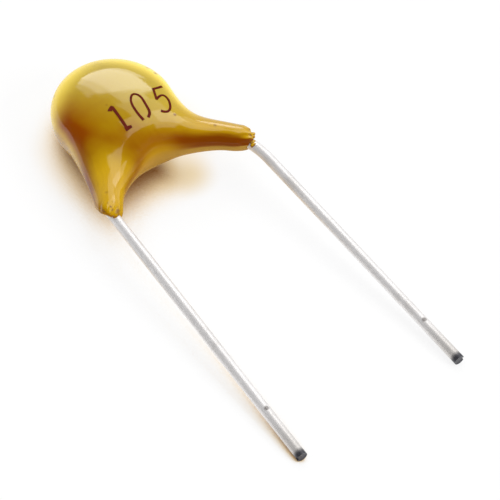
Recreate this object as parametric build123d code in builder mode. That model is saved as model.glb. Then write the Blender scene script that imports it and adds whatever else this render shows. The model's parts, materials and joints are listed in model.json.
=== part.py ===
"""Dipped radial-lead multilayer ceramic capacitor, lying on its flat side.

Millimetres, +Z up. X runs along the lead pitch, +Y points at the crown of the bead and the leads run
towards -Y. The pieces are worked out with the bead's middle at x = 0 and the two lead kinks at y = 0.
The finished pieces are then moved so that the origin is below the middle of the whole part, on the
surface that it lies on.
"""
import os
from math import copysign, cos, pi, radians, sin, sqrt

from build123d import *

# Ceramic chip
CHIP_LENGTH = 3.1
CHIP_WIDTH = 2.4
CHIP_THICKNESS = 1.9
CHIP_EDGE_RADIUS = 0.15

# Metal caps fired on the ends of the chip
TERMINATION_WALL = 0.05
TERMINATION_BAND = 0.5

# Solder between cap and wire
SOLDER_FILM = 0.04
SOLDER_FOOT = 1.1
SOLDER_CLIMB_ANGLE = 60.0
SOLDER_HOLLOW_SHARE = 0.15

# Tinned wire leads; a pair of values is for the left and the right lead
WIRE_DIAMETER = 0.5
LEAD_PITCH = 7.62
LEAD_OFFSET = 0.35
LEAD_LENGTHS = (15.5, 15.1)
LEAD_SPLAY_ANGLES = (1.8, 2.2)
KINK_RADII = (1.2, 5.0)
SHOULDER_RADIUS = 0.7
SHOULDER_DROP = 0.46
TIP_CUT_ANGLE = 12.0
CHIP_REACH = 4.78

# Dipped epoxy coat; a pair of values is for the left and the right leg
SIDE_COVER = 0.71
FACE_COVER = 0.64
CROTCH_REACH = 1.34
LEG_DIAMETERS = (1.3, 1.25)
LEG_OVERRUN = 0.1
LEG_SAGS = (0.08, 0.22)
LEG_END_TAPERS = (0.45, 0.6)
LEG_END_INSETS = (0.22, 0.22)
CROWN_END_ANGLES = (-4.0, -9.0)
FLANK_PULL_SHARES = ((0.5, 0.45), (1.86, 1.43))
CROTCH_PULL_SHARES = (0.78, 0.59)
CROTCH_LEAD_SHARE = 0.5
BEAD_POWER = 2.65

# Fineness of the coat's surface
COAT_ROWS = 20
END_ROWS = 4
COAT_COLUMNS = 16
COAT_TOLERANCE = 0.002

os.makedirs("parts", exist_ok=True)

# Places that follow from the sizes above
wire_radius = WIRE_DIAMETER / 2
chip_end = CHIP_LENGTH / 2 + TERMINATION_WALL
wire_reach = chip_end + SOLDER_FILM + wire_radius
bead_radius = wire_reach + wire_radius + SIDE_COVER
bead_thickness = CHIP_THICKNESS + 2 * TERMINATION_WALL + 2 * FACE_COVER
mid_height = bead_thickness / 2
shoulder_y = CHIP_REACH - CHIP_WIDTH / 2 - SHOULDER_DROP
chip_top_y = CHIP_REACH + CHIP_WIDTH / 2
chip_foot_y = CHIP_REACH - CHIP_WIDTH / 2
mid_plane = Plane.XY.offset(mid_height)


def pick(pair, side):
    """The left or the right value of a pair."""
    return pair[1] if side > 0 else pair[0]


def on_side(side, point):
    """The point itself on the right, side 1, and its mirror image on the left, side -1."""
    return Vector(side * point.X, point.Y, point.Z)


def kink_reach(side):
    """Distance of a lead's kink from the bead's middle line."""
    return LEAD_PITCH / 2 + side * LEAD_OFFSET


def leg_direction(side):
    """Way that the wire runs down through a leg, as drawn on the right."""
    return Vector(kink_reach(side) - wire_reach, -shoulder_y).normalized()


def make_lead(side):
    """Wire that runs down the chip end, flares out through the leg, kinks and comes down to the floor."""
    length = pick(LEAD_LENGTHS, side)
    drop = mid_height - wire_radius
    level = sqrt(length**2 - drop**2)
    splay = radians(pick(LEAD_SPLAY_ANGLES, side))
    kink = Vector(kink_reach(side), 0, mid_height)
    tip = kink + Vector(level * sin(splay), -level * cos(splay), -drop)
    corners = (
        Vector(wire_reach, chip_top_y, mid_height),
        Vector(wire_reach, shoulder_y, mid_height),
        kink,
        tip,
    )
    with BuildPart() as lead:
        with BuildLine() as path:
            FilletPolyline(
                *[on_side(side, corner) for corner in corners],
                radius=(SHOULDER_RADIUS, pick(KINK_RADII, side)),
            )
        run = path.wire()
        with BuildSketch(Plane(run @ 0, z_dir=run % 0)):
            Circle(wire_radius)
        sweep(path=run)
        shear_way = (run % 1).rotate(Axis.Z, side * TIP_CUT_ANGLE)
        heel = (run @ 1) - (run % 1) * (wire_radius * sin(radians(TIP_CUT_ANGLE)))
        split(bisect_by=Plane(heel, z_dir=shear_way), keep=Keep.BOTTOM)
    return lead


left_lead = make_lead(-1)
right_lead = make_lead(1)

with BuildPart() as ceramic_chip:
    with Locations((0, CHIP_REACH, mid_height)):
        Box(CHIP_LENGTH, CHIP_WIDTH, CHIP_THICKNESS)
    fillet(ceramic_chip.edges(), CHIP_EDGE_RADIUS)


def make_termination(side):
    """Cap that wraps one end of the chip, with a short band on its four long faces."""
    depth = TERMINATION_BAND + TERMINATION_WALL
    with BuildPart() as termination:
        with Locations((side * (chip_end - depth / 2), CHIP_REACH, mid_height)):
            Box(depth, CHIP_WIDTH + 2 * TERMINATION_WALL, CHIP_THICKNESS + 2 * TERMINATION_WALL)
        end_face = termination.faces().sort_by(Axis.X)[-1 if side > 0 else 0]
        long_edges = termination.edges().filter_by(Axis.X)
        fillet(end_face.edges() + long_edges, CHIP_EDGE_RADIUS + TERMINATION_WALL)
        add(ceramic_chip.part, mode=Mode.SUBTRACT)
    return termination


left_termination = make_termination(-1)
right_termination = make_termination(1)


def make_solder(side, lead):
    """Solder that wets the cap's end face and climbs both flanks of the wire in a hollow fillet."""
    climb = radians(SOLDER_CLIMB_ANGLE)
    corner = Vector(side * chip_end, mid_height)
    foot = Vector(side * chip_end, mid_height + SOLDER_FOOT / 2)
    crest = Vector(side * (wire_reach + wire_radius * cos(climb)), mid_height + wire_radius * sin(climb))
    chord_middle = (foot + crest) / 2
    hollow = chord_middle + (corner - chord_middle) * SOLDER_HOLLOW_SHARE
    section_plane = Plane.XZ.offset(-chip_foot_y)
    with BuildPart() as solder:
        with BuildSketch(section_plane):
            with BuildLine():
                Line(corner, foot)
                ThreePointArc(foot, hollow, crest)
                Line(crest, (crest.X, mid_height))
                Line((crest.X, mid_height), corner)
            make_face()
            mirror(about=Plane.XZ.offset(-mid_height))
        extrude(amount=-CHIP_WIDTH)
        add(lead.part, mode=Mode.SUBTRACT)
    return solder


left_solder = make_solder(-1, left_lead)
right_solder = make_solder(1, right_lead)


def plan_edges(side):
    """Outer and inner edge of the coat in plan, from the middle line to a leg end, drawn on the right."""
    down_leg = leg_direction(side)
    across_leg = Vector(-down_leg.Y, down_leg.X)
    half_leg = across_leg * (pick(LEG_DIAMETERS, side) / 2)
    down_end = down_leg * (LEG_OVERRUN - pick(LEG_END_TAPERS, side))
    leg_end = Vector(kink_reach(side), 0) + down_end - across_leg * pick(LEG_SAGS, side)
    with BuildLine() as outer_edge:
        crown = CenterArc((0, CHIP_REACH), bead_radius, 90, pick(CROWN_END_ANGLES, side) - 90)
        Spline(
            crown @ 1,
            leg_end + half_leg,
            tangents=(crown % 1, down_leg),
            tangent_scalars=pick(FLANK_PULL_SHARES, side),
        )
    with BuildLine() as inner_edge:
        Spline(
            (0, CROTCH_REACH),
            leg_end - half_leg,
            tangents=((1, 0), down_leg),
            tangent_scalars=CROTCH_PULL_SHARES,
        )
    return outer_edge.wire(), inner_edge.wire()


def coat_row(middle, half_across, half_height, power):
    """Points over the top of one cross-section, a superellipse, from its outer to its inner end."""
    row = []
    for column in range(COAT_COLUMNS + 1):
        turn = pi * column / COAT_COLUMNS
        point = middle + half_across * copysign(abs(cos(turn)) ** (2 / power), cos(turn))
        rise = half_height * sin(turn) ** (2 / power) if 0 < column < COAT_COLUMNS else 0
        row.append(Vector(point.X, point.Y, mid_height + rise))
    return row


def coat_side(side):
    """Rows of the coat's top surface from the middle line to the rounded end of one leg."""
    outer_edge, inner_edge = plan_edges(side)
    leg_diameter = pick(LEG_DIAMETERS, side)
    rows = []
    for step in range(COAT_ROWS + 1):
        run = step / COAT_ROWS
        inner_run = CROTCH_LEAD_SHARE * run + (1 - CROTCH_LEAD_SHARE) * run**4
        outer_point = outer_edge @ run
        inner_point = inner_edge @ inner_run
        swell = (1 - run**2) ** 2
        height = leg_diameter + (bead_thickness - leg_diameter) * swell
        power = 2 + (BEAD_POWER - 2) * swell
        rows.append(((outer_point + inner_point) / 2, (outer_point - inner_point) / 2, height / 2, power))
    end_middle, end_half, end_height, end_power = rows[-1]
    for step in range(1, END_ROWS + 1):
        turn = pi / 2 * step / END_ROWS
        inset = pick(LEG_END_INSETS, side) * (1 - cos(turn))
        middle = end_middle + leg_direction(side) * (pick(LEG_END_TAPERS, side) * sin(turn))
        half_across = end_half.normalized() * (end_half.length - inset)
        rows.append((middle, half_across, end_height - inset, end_power))
    return [[on_side(side, point) for point in coat_row(*row)] for row in rows]


# Upper half of the coat: one smooth surface closed by the mid-plane and by a flat face at each leg end
coat_grid = coat_side(-1)[:0:-1] + coat_side(1)
coat_top = Face.make_surface_from_array_of_points(coat_grid, tol=COAT_TOLERANCE, min_deg=3, max_deg=5)
coat_edges = coat_top.edges().sort_by(lambda edge: edge.bounding_box().size.Z)
rims = coat_edges[:2]
arches = coat_edges[2:].sort_by(Axis.X)
sills = [Edge.make_line(row[0], row[-1]) for row in (coat_grid[0], coat_grid[-1])]
mid_face = Face(Wire([*rims, *sills]))
end_faces = [Face(Wire([arch, sill])) for arch, sill in zip(arches, sills)]
upper_half = Solid(Shell([coat_top, mid_face, *end_faces]))

# What the coat was dipped over, as one body
with BuildPart() as held_core:
    add(ceramic_chip.part)
    for held in (left_termination, left_solder, left_lead, right_termination, right_solder, right_lead):
        add(held.part)

with BuildPart() as epoxy_coating:
    add(upper_half)
    mirror(about=mid_plane)
    add(held_core.part, mode=Mode.SUBTRACT)

pieces = {
    "epoxy_coating": epoxy_coating,
    "ceramic_chip": ceramic_chip,
    "left_termination": left_termination,
    "right_termination": right_termination,
    "left_solder": left_solder,
    "right_solder": right_solder,
    "left_lead": left_lead,
    "right_lead": right_lead,
}
whole = Compound([piece.part for piece in pieces.values()]).bounding_box()
to_frame = Location((-whole.center().X, -whole.center().Y, -whole.min.Z))
for name, piece in pieces.items():
    placed = piece.part.moved(to_frame)
    placed.label = name
    export_step(placed, f"parts/{name}.step")
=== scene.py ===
"""Radial ceramic capacitor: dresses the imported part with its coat, tinned leads and value code.

Run as a script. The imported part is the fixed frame, and every piece is placed from it, in metres.
"""
import json
import math

import bpy
from bpy.props import FloatProperty, FloatVectorProperty, IntProperty, PointerProperty
from mathutils import Matrix, Vector


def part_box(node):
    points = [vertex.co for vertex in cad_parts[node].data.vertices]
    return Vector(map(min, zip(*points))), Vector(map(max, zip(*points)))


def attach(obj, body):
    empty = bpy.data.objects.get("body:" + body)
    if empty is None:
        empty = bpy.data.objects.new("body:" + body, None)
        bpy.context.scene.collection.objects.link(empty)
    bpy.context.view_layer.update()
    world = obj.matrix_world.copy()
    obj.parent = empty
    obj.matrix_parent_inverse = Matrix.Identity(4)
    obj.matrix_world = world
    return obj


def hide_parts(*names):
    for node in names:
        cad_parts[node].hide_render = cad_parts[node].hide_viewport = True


bl_info = {
    "name": "Radial Ceramic Capacitor",
    "version": (1, 0, 0),
    "blender": (4, 5, 0),
    "location": "View3D > Sidebar > Capacitor",
    "description": "Builds a dipped radial-lead ceramic capacitor around its packed solids",
    "category": "Object",
}

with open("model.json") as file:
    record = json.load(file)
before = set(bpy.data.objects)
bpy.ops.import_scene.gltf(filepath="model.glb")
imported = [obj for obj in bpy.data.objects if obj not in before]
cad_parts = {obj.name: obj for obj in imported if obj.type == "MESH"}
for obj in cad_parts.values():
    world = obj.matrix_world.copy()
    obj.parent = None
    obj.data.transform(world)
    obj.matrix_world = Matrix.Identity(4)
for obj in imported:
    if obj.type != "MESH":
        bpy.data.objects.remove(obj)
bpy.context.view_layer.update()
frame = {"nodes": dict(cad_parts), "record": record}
MOUNTS = {mount["name"]: mount for mount in frame["record"]["mounts"]}
CHIP_LOW, CHIP_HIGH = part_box("ceramic_chip")
CHIP_MIDDLE = (CHIP_LOW + CHIP_HIGH) / 2
COAT_LOW, COAT_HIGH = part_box("epoxy_coating")

MM = 0.001
MERGE_GAP = 0.0005 * MM
SMOOTH_ANGLE = math.radians(40)
SIDES = (("left", -1), ("right", 1))


# Settings


class CoatSettings(bpy.types.PropertyGroup):
    """Sizes and colours of the dipped coat."""

    bead_radius: FloatProperty(
        name="Bead Radius", description="Radius of the crown in plan",
        default=2.85 * MM, unit="LENGTH",
    )
    bead_height: FloatProperty(
        name="Bead Height", description="Thickness of the bead",
        default=COAT_HIGH.z - COAT_LOW.z, unit="LENGTH",
    )
    crotch_reach: FloatProperty(
        name="Crotch Reach", description="From the kinks up to the crotch",
        default=1.34 * MM, unit="LENGTH",
    )
    crown_ends: FloatVectorProperty(
        name="Crown Ends", description="Angles where the crown turns into each flank", size=2,
        default=(math.radians(-4), math.radians(-9)), subtype="EULER",
    )
    leg_diameters: FloatVectorProperty(
        name="Leg Diameters", description="Thickness of the left and the right leg", size=2,
        default=(1.3 * MM, 1.25 * MM), unit="LENGTH", precision=6,
    )
    leg_sags: FloatVectorProperty(
        name="Leg Sags", description="How far each leg hangs to the inside of its wire", size=2,
        default=(0.08 * MM, 0.22 * MM), unit="LENGTH", precision=6,
    )
    leg_tapers: FloatVectorProperty(
        name="Leg Tapers", description="Length of each leg's rounded end in the solids", size=2,
        default=(0.45 * MM, 0.60 * MM), unit="LENGTH", precision=6,
    )
    lip_slants: FloatVectorProperty(
        name="Lip Slants", description="Slant of each broken lip", size=2,
        default=(math.radians(38), math.radians(44)), subtype="EULER",
    )
    lip_tilts: FloatVectorProperty(
        name="Lip Tilts", description="How far each broken lip's top hangs over its wire", size=2,
        default=(math.radians(40), math.radians(8)), subtype="EULER",
    )
    lip_reaches: FloatVectorProperty(
        name="Lip Reaches", description="Length over which each leg thins out", size=2,
        default=(0.78 * MM, 0.62 * MM), unit="LENGTH", precision=6,
    )
    lip_strays: FloatProperty(
        name="Lip Strays", description="How far the broken lips stray",
        default=0.07 * MM, unit="LENGTH",
    )
    # Painted light: the bead's ochre on its side that faces the light
    colour: FloatVectorProperty(
        name="Colour", description="Ochre on the thin side of the coat",
        default=(0.47, 0.325, 0.004), subtype="COLOR", min=0, max=1,
    )
    # Painted light: the legs' ochre on their side that faces the light, also laid on the bead's
    # lower faces as painted bounce light
    leg_colour: FloatVectorProperty(
        name="Leg Colour", description="Ochre of the thinly coated legs",
        default=(0.55, 0.32, 0.004), subtype="COLOR", min=0, max=1,
    )
    # Painted shade: the bead's ochre on its side away from the light
    painted_shade_colour: FloatVectorProperty(
        name="Deep Colour", description="Ochre where the coat is thick",
        default=(0.262, 0.054, 0.0003), subtype="COLOR", min=0, max=1,
    )
    # Painted shade: the legs' brown on their side away from the light
    leg_painted_shade_colour: FloatVectorProperty(
        name="Leg Deep Colour", description="Brown along the shaded side of the legs",
        default=(0.195, 0.042, 0.0003), subtype="COLOR", min=0, max=1,
    )
    # Painted bounce light: tan of the faces that look down
    painted_bounce_colour: FloatVectorProperty(
        name="Under Colour", description="Tan of the underside",
        default=(0.38, 0.20, 0.02), subtype="COLOR", min=0, max=1,
    )
    # Painted rim light: yellow round the back of the bead
    painted_rim_light_colour: FloatVectorProperty(
        name="Rim Colour", description="Yellow of the thin coat round the back",
        default=(0.97, 0.72, 0.04), subtype="COLOR", min=0, max=1,
    )
    burnt_colour: FloatVectorProperty(
        name="Burnt Colour", description="Brown of the lips and pinholes",
        default=(0.20, 0.075, 0.004), subtype="COLOR", min=0, max=1,
    )


class LeadSettings(bpy.types.PropertyGroup):
    """Sizes and colours of the wire leads."""

    flares: FloatVectorProperty(
        name="Flares", description="Angle of each wire inside its leg", size=2,
        default=(math.radians(26.71), math.radians(36.04)), subtype="EULER",
    )
    bends: FloatVectorProperty(
        name="Bends", description="Bend radius of each kink", size=2,
        default=(1.2 * MM, 5.0 * MM), unit="LENGTH", precision=6,
    )
    tail: FloatProperty(
        name="Tail", description="Length of wire inside the leg",
        default=0.9 * MM, unit="LENGTH",
    )
    cut_angle: FloatProperty(
        name="Cut Angle", description="Slant of the sheared tip",
        default=math.radians(12), subtype="ANGLE",
    )
    facets: IntProperty(
        name="Facets", description="Sides of the wire's section", default=40, min=12
    )
    colour: FloatVectorProperty(
        name="Colour", description="Bright tin",
        default=(0.86, 0.84, 0.83), subtype="COLOR", min=0, max=1,
    )
    # Also laid on more and more towards the tip
    dull_colour: FloatVectorProperty(
        name="Dull Colour", description="Tarnished tin",
        default=(0.66, 0.63, 0.60), subtype="COLOR", min=0, max=1,
    )


class CodeSettings(bpy.types.PropertyGroup):
    """The printed value code."""

    stroke: FloatProperty(
        name="Stroke", description="Width of a stroke", default=0.108 * MM, unit="LENGTH"
    )
    film: FloatProperty(
        name="Film", description="How far the ink stands off the coat",
        default=0.02 * MM, unit="LENGTH",
    )
    colour: FloatVectorProperty(
        name="Colour", description="Maroon ink",
        default=(0.075, 0.008, 0.006), subtype="COLOR", min=0, max=1,
    )


class StudioSettings(bpy.types.PropertyGroup):
    """Floor, lights and camera."""

    azimuth: FloatProperty(
        name="Azimuth", description="Camera's turn about the vertical",
        default=math.radians(-35.2), subtype="ANGLE",
    )
    elevation: FloatProperty(
        name="Elevation", description="Camera's height angle",
        default=math.radians(48.5), subtype="ANGLE",
    )
    distance: FloatProperty(
        name="Distance", description="Camera to target", default=170 * MM, unit="LENGTH"
    )
    lens: FloatProperty(name="Lens", description="Focal length in millimetres", default=275.0)
    target_offset: FloatVectorProperty(
        name="Target Offset", description="From between the kinks to the camera's target", size=2,
        default=(0.78 * MM, -4.40 * MM), unit="LENGTH", precision=6,
    )
    panel_height: FloatProperty(
        name="Panel Height", description="Height of the soft panels", default=0.30, unit="LENGTH"
    )
    panel_strength: FloatProperty(
        name="Panel Strength", description="Brightness of the soft panels", default=3.5
    )
    fill_strength: FloatProperty(
        name="Fill Strength", description="Brightness of the fill lamps", default=3.0
    )
    floor_glow: FloatProperty(
        name="Floor Glow", description="How far the bright floor washes its shadows out",
        default=0.82, min=0, max=1,
    )
    floor_colour: FloatVectorProperty(
        name="Floor Colour", description="Pale floor",
        default=(0.93, 0.93, 0.93), subtype="COLOR", min=0, max=1,
    )


# Small helpers


def start_clean():
    """Leave edit mode with nothing selected."""
    if bpy.context.object and bpy.context.object.mode != "OBJECT":
        bpy.ops.object.mode_set(mode="OBJECT")
    bpy.ops.object.select_all(action="DESELECT")


def only(piece):
    """Select this piece alone and make it the active one."""
    start_clean()
    piece.select_set(True)
    bpy.context.view_layer.objects.active = piece


def edit(piece):
    """Go into edit mode on this piece with nothing selected."""
    only(piece)
    bpy.ops.object.mode_set(mode="EDIT")
    bpy.ops.mesh.select_all(action="DESELECT")


def settle(piece):
    """Leave edit mode and put the piece's place into its mesh."""
    only(piece)
    bpy.ops.object.transform_apply(location=True, rotation=True, scale=True)


def select_all():
    """Select the whole mesh. Call it in edit mode."""
    bpy.ops.mesh.select_all(action="SELECT")


def join(pieces):
    """Join pieces into the first of them."""
    start_clean()
    for piece in pieces:
        piece.select_set(True)
    bpy.context.view_layer.objects.active = pieces[0]
    bpy.ops.object.join()
    return bpy.context.object


def pick_parts(piece, kind, wanted):
    """Select the faces or the vertices that pass the test. Call it in edit mode."""
    bpy.ops.mesh.select_mode(type=kind)
    bpy.ops.mesh.select_all(action="DESELECT")
    bpy.ops.object.mode_set(mode="OBJECT")
    for part in piece.data.polygons if kind == "FACE" else piece.data.vertices:
        part.select = wanted(part)
    bpy.ops.object.mode_set(mode="EDIT")


def turn_picked(angle, axis, centre):
    """Turn what is selected about a global axis. The operator counts its angle backwards."""
    bpy.ops.transform.rotate(
        value=-angle, orient_axis=axis, orient_type="GLOBAL", center_override=centre
    )


def modify(piece, kind, **values):
    """Add a modifier, set it and apply it."""
    only(piece)
    modifier = piece.modifiers.new(kind.title(), kind)
    for name, value in values.items():
        setattr(modifier, name, value)
    bpy.ops.object.modifier_apply(modifier=modifier.name)


def finish_piece(piece, name, material, nodes=()):
    """Name a piece, give it its material and tie it to the frame."""
    settle(piece)
    piece.name = name
    piece.data.name = name
    piece.data.materials.clear()
    piece.data.materials.append(material)
    bpy.ops.object.shade_smooth_by_angle(angle=SMOOTH_ANGLE)
    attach(piece, "root")
    if nodes:
        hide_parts(*nodes)


def smooth_line(start, end, start_pull, end_pull):
    """Points on a smooth line that leaves start along one pull and reaches end along the other."""
    points = []
    for step in range(LINE_STEPS + 1):
        t = step / LINE_STEPS
        points.append(
            start * (2 * t**3 - 3 * t**2 + 1) + start_pull * (t**3 - 2 * t**2 + t)
            + end * (3 * t**2 - 2 * t**3) + end_pull * (t**3 - t**2)
        )
    return points


def walk(points, share):
    """The point at a share of the length of a line of points."""
    lengths = [(b - a).length for a, b in zip(points, points[1:])]
    left = share * sum(lengths)
    for point, following, length in zip(points, points[1:], lengths):
        if left <= length:
            return point.lerp(following, left / length)
        left -= length
    return points[-1]


# Places on the part


LEG_OVERRUN = 0.1 * MM


def pick(pair, side):
    """The left or the right value of a pair."""
    return pair[1] if side > 0 else pair[0]


def kink(side):
    """Where a lead's straight run and its leg's line meet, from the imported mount."""
    mount = MOUNTS[pick(("left_lead", "right_lead"), side)]
    way = Vector(mount["axis"])
    middle = Vector(mount["pos_m"])
    return middle + way * ((CHIP_MIDDLE.z - middle.z) / way.z)


def between_kinks(height):
    """The place half way between the kinks, at a height."""
    place = (kink(-1) + kink(1)) / 2
    place.z = height
    return place


def leg_way(side):
    """Direction of a leg, towards its end."""
    flare = pick(bpy.context.scene.capacitor_leads.flares, side)
    return Vector((side * math.sin(flare), -math.cos(flare), 0))


def leg_across(side):
    """Direction square to a leg, away from the crotch."""
    down = leg_way(side)
    return Vector((-side * down.y, side * down.x, 0))


def leg_end(side):
    """Where a leg's own line ends, a little past the kink."""
    return kink(side) + leg_way(side) * LEG_OVERRUN


def crotch_place(coat, side):
    """The crotch between the legs, reckoned from a side's kink."""
    return Vector((CHIP_MIDDLE.x, kink(side).y + coat.crotch_reach, CHIP_MIDDLE.z))


# Material nodes


def link(tree, source, target):
    """Join two sockets."""
    tree.links.new(source, target)


def feed(tree, socket, value):
    """Give a socket what it takes: another socket, a colour or a number."""
    if isinstance(value, bpy.types.NodeSocket):
        link(tree, value, socket)
    elif socket.type == "RGBA":
        socket.default_value = (*value[:3], 1.0)
    else:
        socket.default_value = value


NODE_COLUMNS = 8
NODE_WIDTH = 220
NODE_HEIGHT = 340


def node(tree, kind, **values):
    """Add a node in the next place of a grid, and set its values by attribute or input name."""
    row, column = divmod(len(tree.nodes), NODE_COLUMNS)
    item = tree.nodes.new(kind)
    item.location = (column * NODE_WIDTH, -row * NODE_HEIGHT)
    for name, value in values.items():
        if hasattr(item, name):
            setattr(item, name, value)
        else:
            item.inputs[name.replace("_", " ").title()].default_value = value
    return item


def new_material(name):
    """An empty node material with its shader and the piece's own coordinates."""
    material = bpy.data.materials.new(name)
    material.use_nodes = True
    tree = material.node_tree
    tree.nodes.clear()
    output = node(tree, "ShaderNodeOutputMaterial")
    shader = node(tree, "ShaderNodeBsdfPrincipled")
    place = node(tree, "ShaderNodeTexCoord")
    link(tree, shader.outputs["BSDF"], output.inputs["Surface"])
    return material, tree, shader, place.outputs["Object"]


def maths(tree, operation, *values):
    """One step of arithmetic on sockets and numbers."""
    item = node(tree, "ShaderNodeMath", operation=operation)
    for socket, value in zip(item.inputs, values):
        feed(tree, socket, value)
    return item.outputs["Value"]


def measure(tree, operation, vector, fixed):
    """A vector socket's dot product with a fixed vector, or its distance from it."""
    item = node(tree, "ShaderNodeVectorMath", operation=operation)
    link(tree, vector, item.inputs[0])
    item.inputs[1].default_value = fixed
    return item.outputs["Value"]


def split_axes(tree, vector):
    """The X, Y and Z of a vector socket."""
    item = node(tree, "ShaderNodeSeparateXYZ")
    link(tree, vector, item.inputs["Vector"])
    return item.outputs


def ramp(tree, value, band=(0.0, 1.0), result=(0.0, 1.0), kind="SMOOTHSTEP"):
    """Carry a value from a band over to a result, easing in and out unless the kind differs."""
    item = node(tree, "ShaderNodeMapRange", interpolation_type=kind)
    link(tree, value, item.inputs["Value"])
    for name, limit in zip(("From Min", "From Max", "To Min", "To Max"), (*band, *result)):
        feed(tree, item.inputs[name], limit)
    return item.outputs["Result"]


def noise(tree, place, kind):
    """Noise of a scale, a detail and a roughness."""
    scale, detail, roughness = kind
    item = node(tree, "ShaderNodeTexNoise", scale=scale, detail=detail, roughness=roughness)
    link(tree, place, item.inputs["Vector"])
    return item.outputs["Fac"]


def mix_colour(tree, factor, first, second):
    """Mix two colours or colour sockets."""
    item = node(tree, "ShaderNodeMix", data_type="RGBA")
    for number, value in ((0, factor), (6, first), (7, second)):
        feed(tree, item.inputs[number], value)
    return item.outputs[2]


def near_points(tree, place, points, reach):
    """Mask that is one within the inner reach of any of the points and zero past the outer one."""
    result = None
    for number, point in enumerate(points):
        mask = ramp(tree, measure(tree, "DISTANCE", place, point), reach, (1.0, 0.0))
        result = maths(tree, "MAXIMUM", result, mask) if number else mask
    return result


def roughen(tree, shader, value, result):
    """Carry a value over to a shader's roughness."""
    link(tree, ramp(tree, value, result=result, kind="LINEAR"), shader.inputs["Roughness"])


def raise_surface(tree, shader, height, bump):
    """Raise a shader's surface by a height, at a strength and over a distance."""
    strength, distance = bump
    item = node(tree, "ShaderNodeBump", strength=strength, distance=distance)
    link(tree, height, item.inputs["Height"])
    link(tree, item.outputs["Normal"], shader.inputs["Normal"])


def fleck_group():
    """Node group: sparse round flecks, as a mask that is one inside a fleck."""
    name = "Flecks"
    if name in bpy.data.node_groups:
        return bpy.data.node_groups[name]
    group = bpy.data.node_groups.new(name, "ShaderNodeTree")
    sockets = group.interface
    sockets.new_socket("Vector", in_out="INPUT", socket_type="NodeSocketVector")
    for label in ("Scale", "Size", "Share"):
        sockets.new_socket(label, in_out="INPUT", socket_type="NodeSocketFloat")
    sockets.new_socket("Mask", in_out="OUTPUT", socket_type="NodeSocketFloat")
    start = node(group, "NodeGroupInput").outputs
    end = node(group, "NodeGroupOutput")
    cells = node(group, "ShaderNodeTexVoronoi")
    split = node(group, "ShaderNodeSeparateColor")
    link(group, start["Vector"], cells.inputs["Vector"])
    link(group, start["Scale"], cells.inputs["Scale"])
    link(group, cells.outputs["Color"], split.inputs["Color"])
    size = maths(group, "MULTIPLY", start["Size"], split.outputs["Green"])
    inside = ramp(group, cells.outputs["Distance"], (0.0, size), (1.0, 0.0))
    kept = maths(group, "LESS_THAN", split.outputs["Red"], start["Share"])
    link(group, maths(group, "MULTIPLY", inside, kept), end.inputs["Mask"])
    return group


def flecks(tree, place, kind):
    """Place the fleck group with a scale, a size and a share of the cells."""
    item = node(tree, "ShaderNodeGroup")
    item.node_tree = fleck_group()
    link(tree, place, item.inputs["Vector"])
    for name, value in zip(("Scale", "Size", "Share"), kind):
        item.inputs[name].default_value = value
    return item.outputs["Mask"]


# Materials


# A band runs from none to all, a reach from the inner to the outer distance
# Noise has a scale, a detail and a roughness, flecks a scale, a size and a share
# Painted light and shade: the side the light comes from, and the band over which the coat turns
# from its painted shade colour to its ochre
LIT_SIDE = Vector((0.62, 0.52, 0.59))
LIT_BAND = (-0.10, 0.58)
# Painted rim light: the sides round the back where the bead turns yellow, and the band of facing
# over which it does
BACK_SIDES = (Vector((-0.19, 0.71, 0.11)), Vector((0.80, 0.60, 0.05)))
BACK_BAND = (0.22, 0.55)
# Painted bounce light: bands of facing upwards over which the faces that look down turn tan and the
# bead's lower faces take the leg ochre
UNDER_BAND = (0.18, -0.08)
SKIRT_BAND = (0.52, 0.12)
BEAD_REACH = (2.2 * MM, 4.6 * MM)
BEAD_DEEPENING = -0.3
RUN_OUT_REACH = (0.5 * MM, 1.5 * MM)
RUN_OUT_SHARE = 0.35
LIP_SHIFT = 0.22 * MM
LIP_REACH = (0.42 * MM, 0.72 * MM)
LIP_SPOT_BAND = (0.53, 0.60)
MOTTLE_NOISE = (520.0, 3.0, 0.55)
MOTTLE_SHARE = 0.3
CRUMBLE_NOISE = (5200.0, 4.0, 0.6)
RIPPLE_NOISE = (1500.0, 2.0, 0.45)
PINHOLES = (1600.0, 0.26, 0.3)
SPECKS = (1300.0, 0.20, 0.25)
SPECK_COLOUR = (0.86, 0.70, 0.36)
COAT_ROUGHNESS = (0.085, 0.55)
COAT_BUMP = (0.35, 0.012 * MM)
COAT_IOR = 1.66


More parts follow.
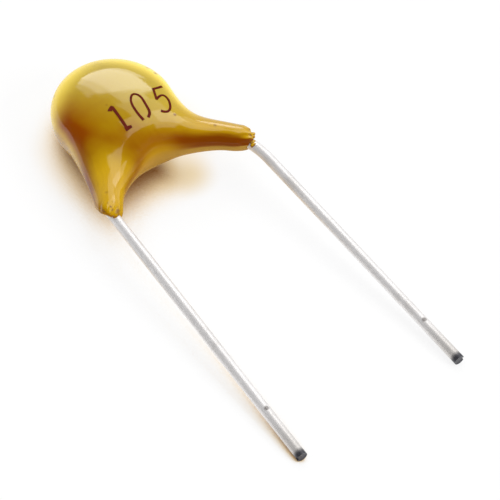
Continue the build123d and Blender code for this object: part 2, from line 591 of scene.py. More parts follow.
def coat_material(coat):
    """Glossy dipped epoxy: mottled ochre, deeper on the bead, with painted shade on the side away
    from the light, a painted rim light round the back, painted bounce light on the faces that look
    down, flecks and burnt lips.
    """
    material, tree, shader, place = new_material("dipped_epoxy")
    facing = node(tree, "ShaderNodeTexCoord").outputs["Normal"]
    thick = near_points(tree, place, [CHIP_MIDDLE], BEAD_REACH)
    # Painted light and shade: how the surface faces the light, with the coat's own mottle and a
    # deeper tone on the bead
    slope = measure(tree, "DOT_PRODUCT", facing, LIT_SIDE)
    mottle = noise(tree, place, MOTTLE_NOISE)
    uneven = maths(tree, "MULTIPLY_ADD", mottle, MOTTLE_SHARE, slope)
    lit_mottled_and_deepened = maths(tree, "MULTIPLY_ADD", thick, BEAD_DEEPENING, uneven)
    # Painted light: one on the side that faces the light, zero on the painted shade side
    thin = ramp(tree, lit_mottled_and_deepened, LIT_BAND)
    tone = mix_colour(tree, thick, coat.leg_colour, coat.colour)
    depth = mix_colour(tree, thick, coat.leg_painted_shade_colour, coat.painted_shade_colour)
    body = mix_colour(tree, thin, depth, tone)
    # Painted bounce light: the bead's lower faces take the lighter leg ochre
    up = split_axes(tree, facing)["Z"]
    low = ramp(tree, up, SKIRT_BAND)
    skirt = maths(tree, "MULTIPLY", low, thick)
    skirted = mix_colour(tree, skirt, body, coat.leg_colour)
    thinned = [crotch_place(coat, -1), leg_end(-1)]
    run_out = near_points(tree, place, thinned, RUN_OUT_REACH)
    spare = maths(tree, "MULTIPLY", run_out, RUN_OUT_SHARE)
    spared = mix_colour(tree, spare, skirted, coat.leg_colour)
    # Painted bounce light: the faces that look down turn tan
    under = ramp(tree, up, UNDER_BAND)
    lifted = mix_colour(tree, under, spared, coat.painted_bounce_colour)
    # Painted rim light: yellow where the bead faces round the back
    backs = [measure(tree, "DOT_PRODUCT", facing, way) for way in BACK_SIDES]
    edge = ramp(tree, maths(tree, "MAXIMUM", *backs), BACK_BAND)
    rim = maths(tree, "MULTIPLY", edge, thick)
    glow = mix_colour(tree, rim, lifted, coat.painted_rim_light_colour)
    holes = flecks(tree, place, PINHOLES)
    specks = flecks(tree, place, SPECKS)
    ends = [leg_end(side) + leg_way(side) * LIP_SHIFT for _, side in SIDES]
    lips = near_points(tree, place, ends, LIP_REACH)
    crumble = noise(tree, place, CRUMBLE_NOISE)
    spots = ramp(tree, crumble, LIP_SPOT_BAND)
    broken = maths(tree, "MULTIPLY", lips, spots)
    pitted = mix_colour(tree, holes, glow, coat.burnt_colour)
    dusted = mix_colour(tree, specks, pitted, SPECK_COLOUR)
    final = mix_colour(tree, broken, dusted, coat.burnt_colour)
    link(tree, final, shader.inputs["Base Color"])
    roughen(tree, shader, broken, COAT_ROUGHNESS)
    ripple = noise(tree, place, RIPPLE_NOISE)
    sunk = maths(tree, "SUBTRACT", ripple, holes)
    raise_surface(tree, shader, sunk, COAT_BUMP)
    shader.inputs["IOR"].default_value = COAT_IOR
    return material


LINE_NOISE = (14000.0, 3.0, 0.6)
LINE_STRETCH = (1.0, 1.0, 0.03)
TARNISH_NOISE = (900.0, 3.0, 0.6)
TARNISH_BAND = (0.45, 0.75)
TARNISH_RESULT = (0.0, 0.55)
TIP_REACH = (0.2 * MM, 3.2 * MM)
NICK_SHARE = 0.82
NICK_RISE = Vector((0, 0, 0.25 * MM))
NICK_REACH = (0.06 * MM, 0.16 * MM)
NICK_COLOUR = (0.30, 0.28, 0.27)
CUT_REACH = (0.27 * MM, 0.48 * MM)
CUT_COLOUR = (0.06, 0.06, 0.07)
LEAD_METALLIC = 0.4
LEAD_ROUGHNESS = (0.25, 0.45)
LEAD_BUMP = (0.25, 0.004 * MM)


def lead_material(leads, name, start, end):
    """Drawn, tinned wire: fine lengthwise lines, dull patches, a nick and a darker sheared tip."""
    material, tree, shader, place = new_material(name)
    way = (end - start).normalized()
    along = node(tree, "ShaderNodeMapping", scale=LINE_STRETCH)
    along.inputs["Rotation"].default_value = (
        way.to_track_quat("Z", "Y").to_matrix().inverted().to_euler()
    )
    link(tree, place, along.inputs["Vector"])
    lines = noise(tree, along.outputs["Vector"], LINE_NOISE)
    patches = noise(tree, place, TARNISH_NOISE)
    dull = ramp(tree, patches, TARNISH_BAND, TARNISH_RESULT)
    # Darker towards the tip
    tip = near_points(tree, place, [end], TIP_REACH)
    nick_place = start.lerp(end, NICK_SHARE) + NICK_RISE
    nick = near_points(tree, place, [nick_place], NICK_REACH)
    cut = near_points(tree, place, [end], CUT_REACH)
    tarnish_and_tip = maths(tree, "MAXIMUM", dull, tip)
    tone = mix_colour(tree, tarnish_and_tip, leads.colour, leads.dull_colour)
    marked = mix_colour(tree, nick, tone, NICK_COLOUR)
    sheared = mix_colour(tree, cut, marked, CUT_COLOUR)
    link(tree, sheared, shader.inputs["Base Color"])
    shader.inputs["Metallic"].default_value = LEAD_METALLIC
    roughen(tree, shader, lines, LEAD_ROUGHNESS)
    raise_surface(tree, shader, lines, LEAD_BUMP)
    return material


INK_NOISE = (3500.0, 3.0, 0.6)
INK_PALE_COLOUR = (0.16, 0.025, 0.012)
INK_ROUGHNESS = (0.6, 0.85)
INK_SPECULAR = 0.02


def ink_material(code):
    """Thin maroon ink, a little uneven."""
    material, tree, shader, place = new_material("maroon_ink")
    uneven = noise(tree, place, INK_NOISE)
    tone = mix_colour(tree, uneven, code.colour, INK_PALE_COLOUR)
    link(tree, tone, shader.inputs["Base Color"])
    roughen(tree, shader, uneven, INK_ROUGHNESS)
    shader.inputs["Specular IOR Level"].default_value = INK_SPECULAR
    return material


INNER_NOISE = (4000.0, 4.0, 0.6)
INNER_PITS = (3000.0, 0.2, 0.3)
INNER_PIT_SHADE = 0.5
INNER_ROUGHER = 0.2


def inner_material(name, colour, shade, metallic, roughness):
    """Plain finish with a fine grain, for the pieces sealed inside the coat."""
    material, tree, shader, place = new_material(name)
    grain = noise(tree, place, INNER_NOISE)
    pits = flecks(tree, place, INNER_PITS)
    tone = mix_colour(tree, grain, colour, shade)
    pit_colour = tuple(value * INNER_PIT_SHADE for value in shade)
    pitted = mix_colour(tree, pits, tone, pit_colour)
    link(tree, pitted, shader.inputs["Base Color"])
    shader.inputs["Metallic"].default_value = metallic
    rougher = min(1.0, roughness + INNER_ROUGHER)
    roughen(tree, shader, grain, (roughness, rougher))
    return material


WHITE = (1.0, 1.0, 1.0)
PAPER_NOISE = (900.0, 3.0, 0.5)
PAPER_SHADE = 0.985
PAPER_ROUGHNESS = 0.8
PAPER_SPECULAR = 0.1
# Painted shadow: a warm contact shadow in the nook at the bead's left, laid on the floor's colour,
# its glow and its mirrored tone
NOOK_SAMPLES = 8
NOOK_DISTANCE = 3.0 * MM
NOOK_BAND = (0.78, 0.22)
CREASE_EDGE = 1.6 * MM
CREASE_BANDS = ((0.0, 0.55), (0.4, 1.0))
PAINTED_SHADOW_COLOURS = ((0.74, 0.53, 0.26), (0.31, 0.116, 0.017))
PAINTED_SHADOW_TINT = (0.92, 0.72, 0.44)
MIRRORED_PAINTED_SHADOW = (0.46, 0.29, 0.11)
# Painted light: warm light under the bead, laid on the floor's glow
BEAD_SHIFT = 0.8 * MM
PAINTED_BEAD_LIGHT_TINT = (1.0, 0.86, 0.68)
# Where light that came through the coat falls, from between the kinks, in millimetres
GLOW_PLACES = ((0.05, 1.75), (0.5, 1.35), (1.0, 0.95))
GLOW_REACH = (0.1 * MM, 1.7 * MM)
GLOW_TINT = (0.86, 0.68, 0.40)
# Painted reflection: the warm floor tone that the coat mirrors, standing in for shade and light
# through the coat, from between the kinks, in millimetres
YARD_PLACE = (-0.4, -1.4)
YARD_REACH = (3.8 * MM, 6.0 * MM)
YARD_MIRRORED = (0.80, 0.56, 0.26)
# Painted reflection: the farther floor, dark where the coat and the wires mirror it
FAR_MIRRORED = (0.14, 0.11, 0.08)
CLOSE_REACH = (1.2 * MM, 5.0 * MM)
BACK_REACH = (1.5 * MM, 5.0 * MM)


def floor_material(studio):
    """Pale paper that washes its shadows out, with a painted warm contact shadow at the bead's
    left, painted warm light under the bead and painted reflection tones.
    """
    material, tree, shader, place = new_material("pale_paper")
    between = between_kinks(0)
    ray = node(tree, "ShaderNodeLightPath").outputs
    axes = split_axes(tree, place)
    # Painted shadow: how deep a place lies in the nook at the bead's left
    nook = node(
        tree, "ShaderNodeAmbientOcclusion", samples=NOOK_SAMPLES, distance=NOOK_DISTANCE
    )
    shade = ramp(tree, nook.outputs["AO"], NOOK_BAND)
    west = ramp(tree, axes["X"], (between.x + CREASE_EDGE, between.x))
    painted_shadow_mask = maths(tree, "MULTIPLY", shade, west)
    faint, deep = [ramp(tree, painted_shadow_mask, band) for band in CREASE_BANDS]
    # The paper itself, with the painted contact shadow laid on its colour
    grain = noise(tree, place, PAPER_NOISE)
    shadow = tuple(value * PAPER_SHADE for value in studio.floor_colour)
    paper = mix_colour(tree, grain, studio.floor_colour, shadow)
    lightly_painted_shadow = mix_colour(tree, faint, paper, PAINTED_SHADOW_COLOURS[0])
    painted_shadow = mix_colour(tree, deep, lightly_painted_shadow, PAINTED_SHADOW_COLOURS[1])
    link(tree, painted_shadow, shader.inputs["Base Color"])
    shader.inputs["Roughness"].default_value = PAPER_ROUGHNESS
    shader.inputs["Specular IOR Level"].default_value = PAPER_SPECULAR
    # Its glow in plain sight, warm as painted light under the bead and in the painted shadow
    bead = Vector((CHIP_MIDDLE.x, CHIP_MIDDLE.y - BEAD_SHIFT, 0))
    under = near_points(tree, place, [bead], BEAD_REACH)
    painted_bead_light = mix_colour(tree, under, WHITE, PAINTED_BEAD_LIGHT_TINT)
    shaded = mix_colour(tree, faint, painted_bead_light, PAINTED_SHADOW_TINT)
    lit = [between + Vector((*spot, 0)) * MM for spot in GLOW_PLACES]
    passed = near_points(tree, place, lit, GLOW_REACH)
    warm = mix_colour(tree, passed, shaded, GLOW_TINT)
    # Its glow as the coat and the wires mirror it, painted reflection tones: warm near the bead,
    # dark farther off and in the painted shadow
    yard = between + Vector((*YARD_PLACE, 0)) * MM
    around = near_points(tree, place, [yard], YARD_REACH)
    lit_floor = mix_colour(tree, around, WHITE, YARD_MIRRORED)
    close = ramp(tree, ray["Ray Length"], CLOSE_REACH, (1.0, 0.0))
    back = ramp(tree, axes["Y"], [between.y + reach for reach in BACK_REACH])
    bare = maths(tree, "MAXIMUM", close, back)
    mirrored = mix_colour(tree, bare, FAR_MIRRORED, lit_floor)
    mirrored_with_painted_shadow = mix_colour(tree, faint, mirrored, MIRRORED_PAINTED_SHADOW)
    tone = mix_colour(tree, ray["Is Glossy Ray"], warm, mirrored_with_painted_shadow)
    bright = node(tree, "ShaderNodeEmission")
    link(tree, tone, bright.inputs["Color"])
    # How much of it glows
    # The painted shadow glows less, so it stays dark
    wash = ramp(tree, painted_shadow_mask, result=(studio.floor_glow, 0.0), kind="LINEAR")
    seen = maths(tree, "MULTIPLY", ray["Is Camera Ray"], wash)
    share = maths(tree, "MAXIMUM", seen, ray["Is Glossy Ray"])
    blend = node(tree, "ShaderNodeMixShader")
    link(tree, share, blend.inputs["Fac"])
    link(tree, shader.outputs["BSDF"], blend.inputs[1])
    link(tree, bright.outputs["Emission"], blend.inputs[2])
    link(tree, blend.outputs["Shader"], tree.nodes["Material Output"].inputs["Surface"])
    return material


# Coat


FLANK_PULL_SHARES = ((0.5, 0.45), (1.86, 1.43))
CROTCH_PULL_SHARES = (0.78, 0.59)
CROTCH_LEAD_SHARE = 0.5
# Share of the lip's reach and of the leg's radius at each of the lip's sections
LIP_SHARES = ((0.3, 0.97), (0.58, 0.91), (0.82, 0.81), (1.0, 0.66), (0.96, 0.44))
LINE_STEPS = 40
STATIONS = 13
RING = 32
LIP_SEED = 3
LIP_SURROUND = 1.6 * MM
# How far above a leg's thinning end the lip's strays stop and the fitted body begins
STRAY_MARGIN = -0.5 * MM
BODY_MARGIN = 0.05 * MM


def coat_stations(coat, side):
    """Middle, half width, half height and tilt of the coat's sections, from mid bead to a lip."""
    down = leg_way(side)
    across = leg_across(side)
    radius = pick(coat.leg_diameters, side) / 2
    sag = pick(coat.leg_sags, side)
    lip = pick(coat.lip_reaches, side)
    end = leg_end(side) - down * pick(coat.leg_tapers, side) - across * sag
    crown = []
    crown_end = pick(coat.crown_ends, side)
    for step in range(LINE_STEPS + 1):
        turn = math.pi / 2 + (crown_end - math.pi / 2) * step / LINE_STEPS
        spoke = Vector((side * math.cos(turn), math.sin(turn), 0))
        crown.append(CHIP_MIDDLE + spoke * coat.bead_radius)
    leave = Vector((side * math.sin(crown_end), -math.cos(crown_end), 0))
    flank_run = (end + across * radius - crown[-1]).length
    flank_pulls = pick(FLANK_PULL_SHARES, side)
    outer = crown + smooth_line(
        crown[-1], end + across * radius, leave * flank_run * flank_pulls[0],
        down * flank_run * flank_pulls[1],
    )[1:]
    crotch = crotch_place(coat, side)
    crotch_run = (end - across * radius - crotch).length
    inner = smooth_line(
        crotch, end - across * radius, Vector((side, 0, 0)) * crotch_run * CROTCH_PULL_SHARES[0],
        down * crotch_run * CROTCH_PULL_SHARES[1],
    )
    sections = []
    for step in range(STATIONS + 1):
        share = step / STATIONS
        outside = walk(outer, share)
        inside = walk(inner, CROTCH_LEAD_SHARE * share + (1 - CROTCH_LEAD_SHARE) * share**4)
        swell = (1 - share**2) ** 2
        height = radius + (coat.bead_height / 2 - radius) * swell
        sections.append(((outside + inside) / 2, (outside - inside) / 2, height, 0.0))
    slant = side * pick(coat.lip_slants, side)
    tilt = side * pick(coat.lip_tilts, side)
    for reach, size in LIP_SHARES:
        turned = across.copy()
        turned.rotate(Matrix.Rotation(slant * reach, 3, "Z"))
        place = end + down * lip * reach + across * sag * reach
        sections.append((place, turned * radius * size, radius * size, tilt * reach))
    return sections


def heading(direction):
    """Plan angle of a direction."""
    return math.atan2(direction.y, direction.x)


def sweep_sections(sections):
    """Draw a ring at the first section, then extrude, turn and stretch it through the others."""
    middle, half, height, tilt = sections[0]
    start_clean()
    bpy.ops.mesh.primitive_circle_add(
        vertices=RING, radius=1.0, fill_type="NGON", location=middle,
        rotation=(math.pi / 2 + tilt, 0, heading(half)),
    )
    piece = bpy.context.object
    piece.scale = (half.length, height, 1)
    settle(piece)
    bpy.ops.object.mode_set(mode="EDIT")
    bpy.ops.mesh.select_mode(type="FACE")
    select_all()
    for last, (middle, half, height, tilt) in zip(sections, sections[1:]):
        last_middle, last_half, last_height, last_tilt = last
        bpy.ops.mesh.extrude_region_move(TRANSFORM_OT_translate={"value": middle - last_middle})
        plan = heading(half)
        turn = (plan - heading(last_half) + math.pi) % (2 * math.pi) - math.pi
        turn_picked(turn, "Z", middle)
        if tilt != last_tilt:
            for angle, axis in ((-plan, "Z"), (tilt - last_tilt, "X"), (plan, "Z")):
                turn_picked(angle, axis, middle)
        bpy.ops.transform.resize(
            value=(half.length / last_half.length, 1, height / last_height), orient_type="GLOBAL",
            orient_matrix=Matrix.Rotation(plan, 3, "Z") @ Matrix.Rotation(tilt, 3, "X"),
            orient_matrix_type="GLOBAL", center_override=middle,
        )
    return piece


def above_lip(coat, place, side, margin):
    """Whether a place lies on the bead's side of a leg's thinning end."""
    start = leg_end(side) - leg_way(side) * (pick(coat.leg_tapers, side) + margin)
    return (place - start).length > LIP_SURROUND or (place - start).dot(leg_way(side)) < 0


class CAPACITOR_OT_coat(bpy.types.Operator):
    """Model the coat: one ring drawn out through the left leg, the bead and the right leg"""

    bl_idname = "capacitor.coat"
    bl_label = "Dipped Coat"

    def execute(self, context):
        coat = context.scene.capacitor_coat
        piece = sweep_sections(coat_stations(coat, -1)[:0:-1] + coat_stations(coat, 1))
        for seed, (_, side) in enumerate(SIDES, LIP_SEED):
            pick_parts(
                piece, "VERT", lambda point: not above_lip(coat, point.co, side, STRAY_MARGIN)
            )
            bpy.ops.transform.vertex_random(
                offset=coat.lip_strays, uniform=0.8, normal=0.2, seed=seed
            )
        select_all()
        bpy.ops.mesh.normals_make_consistent(inside=False)
        modify(piece, "SUBSURF", levels=2, render_levels=2)
        edit(piece)
        pick_parts(
            piece, "VERT",
            lambda point: all(above_lip(coat, point.co, side, BODY_MARGIN) for _, side in SIDES),
        )
        group = piece.vertex_groups.new(name="body")
        bpy.ops.object.vertex_group_assign()
        modify(
            piece, "SHRINKWRAP", target=frame["nodes"]["epoxy_coating"],
            wrap_method="NEAREST_SURFACEPOINT", vertex_group=group.name,
        )
        modify(piece, "SMOOTH", factor=0.5, iterations=10)
        finish_piece(piece, "dipped_coat", coat_material(coat), ("epoxy_coating",))
        return {"FINISHED"}


# Side, then place along the leg, outwards and up from the leg's end, then size, in millimetres
CRUMBS = (
    (-1, 0.12, 0.16, 0.22, 0.06),
    (-1, 0.20, -0.20, 0.18, 0.07),
    (-1, 0.24, -0.02, 0.23, 0.05),
    (1, 0.06, -0.02, 0.24, 0.14),
    (1, 0.14, -0.14, 0.22, 0.11),
    (1, 0.22, -0.36, 0.14, 0.13),
    (1, 0.30, -0.46, 0.10, 0.15),
)
CRUMB_SHAPE = (1.25, 0.85, 0.7)
CRUMB_STRAY = 0.22


class CAPACITOR_OT_crumbs(bpy.types.Operator):
    """Scatter the small crumbs of coat that cling to the wires at the broken lips"""

    bl_idname = "capacitor.crumbs"
    bl_label = "Lip Crumbs"

    def execute(self, context):
        crumbs = []
        for side, along, outward, up, size in CRUMBS:
            shift = leg_way(side) * along + leg_across(side) * outward + Vector((0, 0, up))
            start_clean()
            bpy.ops.mesh.primitive_ico_sphere_add(
                subdivisions=3, radius=size * MM, location=leg_end(side) + shift * MM
            )
            crumb = bpy.context.object
            crumb.scale = CRUMB_SHAPE
            settle(crumb)
            edit(crumb)
            select_all()
            bpy.ops.transform.vertex_random(
                offset=CRUMB_STRAY * size * MM, uniform=0.4, normal=0.6, seed=len(crumbs)
            )
            bpy.ops.mesh.vertices_smooth(factor=0.5, repeat=2)
            crumbs.append(crumb)
        material = bpy.data.materials["dipped_epoxy"]
        finish_piece(join(crumbs), "lip_crumbs", material)
        return {"FINISHED"}


# Leads


KINK_STEPS = 14
START_FACING = -0.9
TIP_FACING = 0.98
# Thickness and depth of the insets that round the tip
TIP_INSETS = ((0.035 * MM, 0.0), (0.03 * MM, -0.02 * MM))


class CAPACITOR_OT_leads(bpy.types.Operator):
    """Model both wire leads: a straight run, spun round the kink and cut at the tip"""

    bl_idname = "capacitor.leads"
    bl_label = "Wire Leads"

    def execute(self, context):
        leads = context.scene.capacitor_leads
        for name, side in SIDES:
            self.build(leads, name, side)
        return {"FINISHED"}

    def build(self, leads, name, side):
        """Model one lead from its packed mount."""
        mount = MOUNTS[name + "_lead"]
        way = Vector(mount["axis"]).normalized()
        radius = mount["dims"]["r_mm"] * MM
        run = mount["dims"]["length_mm"] * MM
        middle = Vector(mount["pos_m"])
        start = middle - way * run / 2
        end = middle + way * (run / 2 + 2 * radius * math.sin(leads.cut_angle))
        bend = pick(leads.bends, side)
        leg = leg_way(side)
        turn = leg.angle(way)
        inward = (way * math.cos(turn) - leg) / math.sin(turn)
        axis = leg.cross(way).normalized()
        start_clean()
        bpy.ops.mesh.primitive_cylinder_add(
            vertices=leads.facets, radius=radius, depth=(end - start).length,
            end_fill_type="NGON", location=(start + end) / 2,
            rotation=way.to_track_quat("Z", "Y").to_euler(),
        )
        piece = bpy.context.object
        settle(piece)
        edit(piece)
        pick_parts(piece, "FACE", lambda face: face.normal.dot(way) < START_FACING)
        bpy.ops.mesh.spin(steps=KINK_STEPS, angle=turn, center=start + inward * bend, axis=axis)
        bpy.ops.mesh.extrude_region_move(TRANSFORM_OT_translate={"value": -leg * leads.tail})
        heel = end - way * radius * math.sin(leads.cut_angle)
        shear = Matrix.Rotation(side * leads.cut_angle, 3, "Z") @ way
        select_all()
        bpy.ops.mesh.bisect(plane_co=heel, plane_no=shear, use_fill=True, clear_outer=True)
        pick_parts(
            piece, "FACE",
            lambda face: face.normal.dot(shear) > TIP_FACING
            and (face.center - heel).length < 2 * radius,
        )
        for thickness, depth in TIP_INSETS:
            bpy.ops.mesh.inset(thickness=thickness, depth=depth)
        select_all()
        bpy.ops.mesh.remove_doubles(threshold=MERGE_GAP)
        bpy.ops.mesh.normals_make_consistent(inside=False)
        material = lead_material(leads, name + "_tinned_wire", start, end)
        finish_piece(piece, name + "_wire", material, (name + "_lead",))


# Value code


# Strokes of each digit: points across and up from its foot, in digit heights, and their swell
DIGITS = {
    "1": (
        ((-0.15, 0.89, 1.9), (-0.08, 0.98, 1.5), (0.02, 1.01, 1.2)),
        ((0.0, 1.0, 1.3), (0.0, 0.5, 1.15), (0.0, 0.0, 1.3)),
        ((-0.07, 0.0, 1.9), (0.05, 0.0, 1.7), (0.18, -0.02, 1.1)),
    ),
    "0": (
        ((-0.10, 0.0, 1.2), (-0.19, 0.22, 1.0), (-0.24, 0.78, 0.9), (-0.04, 1.08, 0.9),
         (0.19, 0.88, 0.9), (0.21, 0.40, 1.0), (0.22, 0.10, 1.1), (0.08, 0.02, 1.2)),
    ),
    "5": (
        ((0.22, 1.0, 1.1), (0.05, 0.97, 0.9), (-0.15, 0.98, 1.0)),
        ((-0.12, 1.0, 1.0), (-0.15, 0.78, 0.9), (-0.175, 0.54, 1.0)),
        ((-0.19, 0.54, 1.0), (0.06, 0.72, 0.9), (0.25, 0.46, 0.9), (0.18, 0.06, 0.9),
         (-0.04, -0.04, 1.0), (-0.20, 0.09, 1.2)),
    ),
}
# Each digit's foot, from between the kinks, its height in millimetres, and its lean
CODE = (
    ("1", (-1.07, 2.51), 1.33, 0.06),
    ("0", (-0.05, 2.48), 1.42, 0.20),
    ("5", (1.06, 2.45), 1.40, 0.26),
)
CODE_RISE = 0.5 * MM
SPLIT_GAP = 0.0001 * MM
STROKE_STEPS = 12


class CAPACITOR_OT_code(bpy.types.Operator):
    """Draw the value code as thin strokes of ink laid on the coat"""

    bl_idname = "capacitor.code"
    bl_label = "Value Code"

    def execute(self, context):
        code = context.scene.capacitor_code
        origin = between_kinks(COAT_HIGH.z + CODE_RISE)
        strokes = []
        for digit, foot, height, lean in CODE:
            start = origin + Vector((*foot, 0)) * MM
            for points in DIGITS[digit]:
                strokes.append(self.stroke(code, start, height * MM, lean, points))
        piece = join(strokes)
        settle(piece)
        edit(piece)
        select_all()
        bpy.ops.mesh.bisect(
            plane_co=origin, plane_no=(0, 0, 1), clear_inner=True, threshold=SPLIT_GAP
        )
        select_all()
        bpy.ops.transform.resize(value=(1, 1, 0), center_override=origin)
        bpy.ops.mesh.remove_doubles(threshold=MERGE_GAP)
        modify(
            piece, "SHRINKWRAP", target=bpy.data.objects["dipped_coat"], wrap_method="PROJECT",
            use_project_z=True, use_negative_direction=True, use_positive_direction=False,
            offset=code.film,
        )
        modify(piece, "SOLIDIFY", thickness=2 * code.film, offset=-1.0)
        edit(piece)
        select_all()
        bpy.ops.mesh.normals_make_consistent(inside=False)
        finish_piece(piece, "value_code", ink_material(code))
        return {"FINISHED"}

    def stroke(self, code, foot, height, lean, points):
        """Draw one stroke along its points and turn it into a mesh."""
        start_clean()
        bpy.ops.curve.primitive_nurbs_path_add(location=(0, 0, 0))
        line = bpy.context.object
        line.data.splines.clear()
        spline = line.data.splines.new("NURBS")
        spline.points.add(len(points) - 1)
        for point, (across, up, swell) in zip(spline.points, points):
            point.co = (*(foot + Vector((across + lean * up, up, 0)) * height), 1.0)
            point.radius = swell
        spline.order_u = 3
        spline.use_endpoint_u = True
        spline.resolution_u = STROKE_STEPS
        line.data.bevel_depth = code.stroke / 2
        line.data.bevel_resolution = 0
        line.data.twist_mode = "Z_UP"
        bpy.ops.object.convert(target="MESH")
        return bpy.context.object


# Pieces sealed inside


# Colour, shade, metallic and roughness of each finish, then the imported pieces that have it
INNER_FINISHES = {
    "fired_ceramic": ((0.36, 0.27, 0.19), (0.25, 0.18, 0.12), 0.0, 0.55, ("ceramic_chip",)),
    "tin_plate": (
        (0.66, 0.66, 0.64), (0.50, 0.50, 0.49), 1.0, 0.35, ("left_termination", "right_termination")
    ),
    "solder": (
        (0.56, 0.56, 0.57), (0.42, 0.42, 0.44), 1.0, 0.28, ("left_solder", "right_solder")
    ),
}


class CAPACITOR_OT_inside(bpy.types.Operator):
    """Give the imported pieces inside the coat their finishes"""

    bl_idname = "capacitor.inside"
    bl_label = "Inner Finishes"

    def execute(self, context):
        for name, (*finish, pieces) in INNER_FINISHES.items():
            material = inner_material(name, *finish)
            for piece in pieces:
                mesh = frame["nodes"][piece].data
                mesh.materials.clear()
                mesh.materials.append(material)
        return {"FINISHED"}


# Studio


# Parts of the soft panel: near, far, left and right edge in panel heights, and share of strength
PANEL_PARTS = (
    ("main_panel", 0.82, 2.15, 0.45, 1.22, 1.0),
    ("left_edge", 0.86, 1.70, 0.14, 0.28, 0.30),
    ("left_wing", 0.83, 1.90, 0.28, 0.45, 0.70),
    ("right_wing", 1.25, 2.15, 1.22, 1.50, 0.65),
    ("front_lip", 0.66, 0.82, 0.40, 0.95, 0.40),
    ("front_gap", 0.30, 0.66, 0.32, 1.15, 0.24),
    ("front_right", -0.15, 0.30, 0.70, 1.40, 0.62),
    ("front_left", -0.15, 0.30, 0.05, 0.70, 0.35),
    ("front_edge", -0.45, -0.15, 0.60, 1.40, 0.30),
)
LAMP_COLOUR = (1.0, 0.99, 0.97)
# Fill lamps: share of the fill strength, and place in metres
FILLS = (("side_fill", 1.0, (-0.32, 0.20, 0.10)), ("front_fill", 2.3, (0.15, -0.33, 0.20)))
FILL_SIZE = (0.20, 0.20)
FLOOR_RADIUS = 1.5
FLOOR_SIDES = 96
# The room is brighter towards one side where it is mirrored, and plain otherwise
ROOM_COLOUR = (0.96, 0.97, 1.0)
ROOM_SIDE = (0.60, 0.60, -0.53)
ROOM_BAND = (-0.4, 0.8)
ROOM_MIRRORED = (0.0, 0.9)
ROOM_PLAIN = (0.62, 1.0)
SENSOR_WIDTH = 36.0
CLIP_START, CLIP_END = 0.005, 10.0


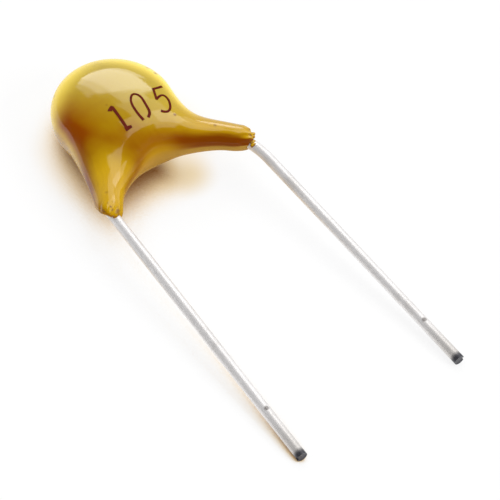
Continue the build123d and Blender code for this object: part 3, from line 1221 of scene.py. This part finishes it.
class CAPACITOR_OT_studio(bpy.types.Operator):
    """Set up the pale floor, the soft panels, the room and the camera"""

    bl_idname = "capacitor.studio"
    bl_label = "Studio"

    def execute(self, context):
        studio = context.scene.capacitor_studio
        self.floor(studio)
        self.panels(studio)
        self.room(context)
        self.camera(context, studio)
        context.scene.view_settings.view_transform = "Standard"
        return {"FINISHED"}

    def floor(self, studio):
        """Lay the pale floor."""
        start_clean()
        bpy.ops.mesh.primitive_circle_add(
            vertices=FLOOR_SIDES, radius=FLOOR_RADIUS, fill_type="NGON", location=(0, 0, 0)
        )
        floor = bpy.context.object
        floor.name = "pale_floor"
        floor.data.materials.append(floor_material(studio))

    def panel(self, name, size, strength, place):
        """Hang one soft panel that faces straight down."""
        lamp = bpy.data.lights.new(name, "AREA")
        lamp.shape = "RECTANGLE"
        lamp.size, lamp.size_y = size
        lamp.energy = strength * math.pi * size[0] * size[1]
        lamp.color = LAMP_COLOUR
        item = bpy.data.objects.new(name, lamp)
        item.location = place
        bpy.context.scene.collection.objects.link(item)
        return item

    def panels(self, studio):
        """Hang the parts of the soft panel, and the fill lamps that face the part."""
        height = studio.panel_height
        for name, near, far, left, right, share in PANEL_PARTS:
            self.panel(
                name, ((right - left) * height, (far - near) * height),
                studio.panel_strength * share,
                ((left + right) / 2 * height, (near + far) / 2 * height, height),
            )
        for name, share, place in FILLS:
            fill = self.panel(name, FILL_SIZE, studio.fill_strength * share, place)
            fill.rotation_euler = Vector(place).to_track_quat("Z", "Y").to_euler()
            fill.visible_glossy = False

    def room(self, context):
        """Set the room's light."""
        world = bpy.data.worlds.new("dim_room")
        context.scene.world = world
        world.use_nodes = True
        tree = world.node_tree
        tree.nodes.clear()
        output = node(tree, "ShaderNodeOutputWorld")
        light = node(tree, "ShaderNodeBackground")
        place = node(tree, "ShaderNodeTexCoord").outputs["Generated"]
        ray = node(tree, "ShaderNodeLightPath").outputs
        slope = measure(tree, "DOT_PRODUCT", place, ROOM_SIDE)
        mirrored = ramp(tree, slope, ROOM_BAND, ROOM_MIRRORED)
        plain = ramp(tree, ray["Is Camera Ray"], result=ROOM_PLAIN, kind="LINEAR")
        seen = node(tree, "ShaderNodeMix", data_type="FLOAT")
        link(tree, ray["Is Glossy Ray"], seen.inputs["Factor"])
        link(tree, plain, seen.inputs["A"])
        link(tree, mirrored, seen.inputs["B"])
        link(tree, seen.outputs["Result"], light.inputs["Strength"])
        feed(tree, light.inputs["Color"], ROOM_COLOUR)
        link(tree, light.outputs["Background"], output.inputs["Surface"])

    def camera(self, context, studio):
        """Place the camera as the photo's was."""
        data = bpy.data.cameras.new("photo_camera")
        data.lens = studio.lens
        data.sensor_width = SENSOR_WIDTH
        data.clip_start = CLIP_START
        data.clip_end = CLIP_END
        camera = bpy.data.objects.new("photo_camera", data)
        a, e = studio.azimuth, studio.elevation
        back = Vector((math.sin(a) * math.cos(e), -math.cos(a) * math.cos(e), math.sin(e)))
        target = between_kinks(0) + Vector((*studio.target_offset, 0))
        camera.location = target + back * studio.distance
        camera.rotation_euler = (math.pi / 2 - e, 0, a)
        context.scene.collection.objects.link(camera)
        context.scene.camera = camera


class CAPACITOR_PT_panel(bpy.types.Panel):
    """Lists the settings of the capacitor and the operators that build its pieces"""

    bl_idname = "CAPACITOR_PT_panel"
    bl_label = "Radial Ceramic Capacitor"
    bl_space_type = "VIEW_3D"
    bl_region_type = "UI"
    bl_category = "Capacitor"

    def draw(self, context):
        for group, (_, operators) in GROUPS.items():
            box = self.layout.box()
            settings = getattr(context.scene, group)
            for name in settings.__annotations__:
                box.prop(settings, name)
            for operator in operators:
                box.operator(operator)


# Each group of settings, and the operators that use it
GROUPS = {
    "capacitor_coat": (CoatSettings, ("capacitor.coat", "capacitor.crumbs", "capacitor.inside")),
    "capacitor_leads": (LeadSettings, ("capacitor.leads",)),
    "capacitor_code": (CodeSettings, ("capacitor.code",)),
    "capacitor_studio": (StudioSettings, ("capacitor.studio",)),
}
CLASSES = (
    *(settings for settings, _ in GROUPS.values()),
    CAPACITOR_OT_coat,
    CAPACITOR_OT_crumbs,
    CAPACITOR_OT_leads,
    CAPACITOR_OT_code,
    CAPACITOR_OT_inside,
    CAPACITOR_OT_studio,
    CAPACITOR_PT_panel,
)


def register():
    """Register the classes and hang the settings on the scene."""
    for item in CLASSES:
        bpy.utils.register_class(item)
    for name, (settings, _) in GROUPS.items():
        setattr(bpy.types.Scene, name, PointerProperty(type=settings))


def unregister():
    """Take the settings and the classes away again."""
    for name in GROUPS:
        delattr(bpy.types.Scene, name)
    for item in reversed(CLASSES):
        bpy.utils.unregister_class(item)


def main():
    """Build everything in order."""
    register()
    bpy.ops.capacitor.coat()
    bpy.ops.capacitor.crumbs()
    bpy.ops.capacitor.leads()
    bpy.ops.capacitor.code()
    bpy.ops.capacitor.inside()
    bpy.ops.capacitor.studio()
    start_clean()


if __name__ == "__main__":
    main()
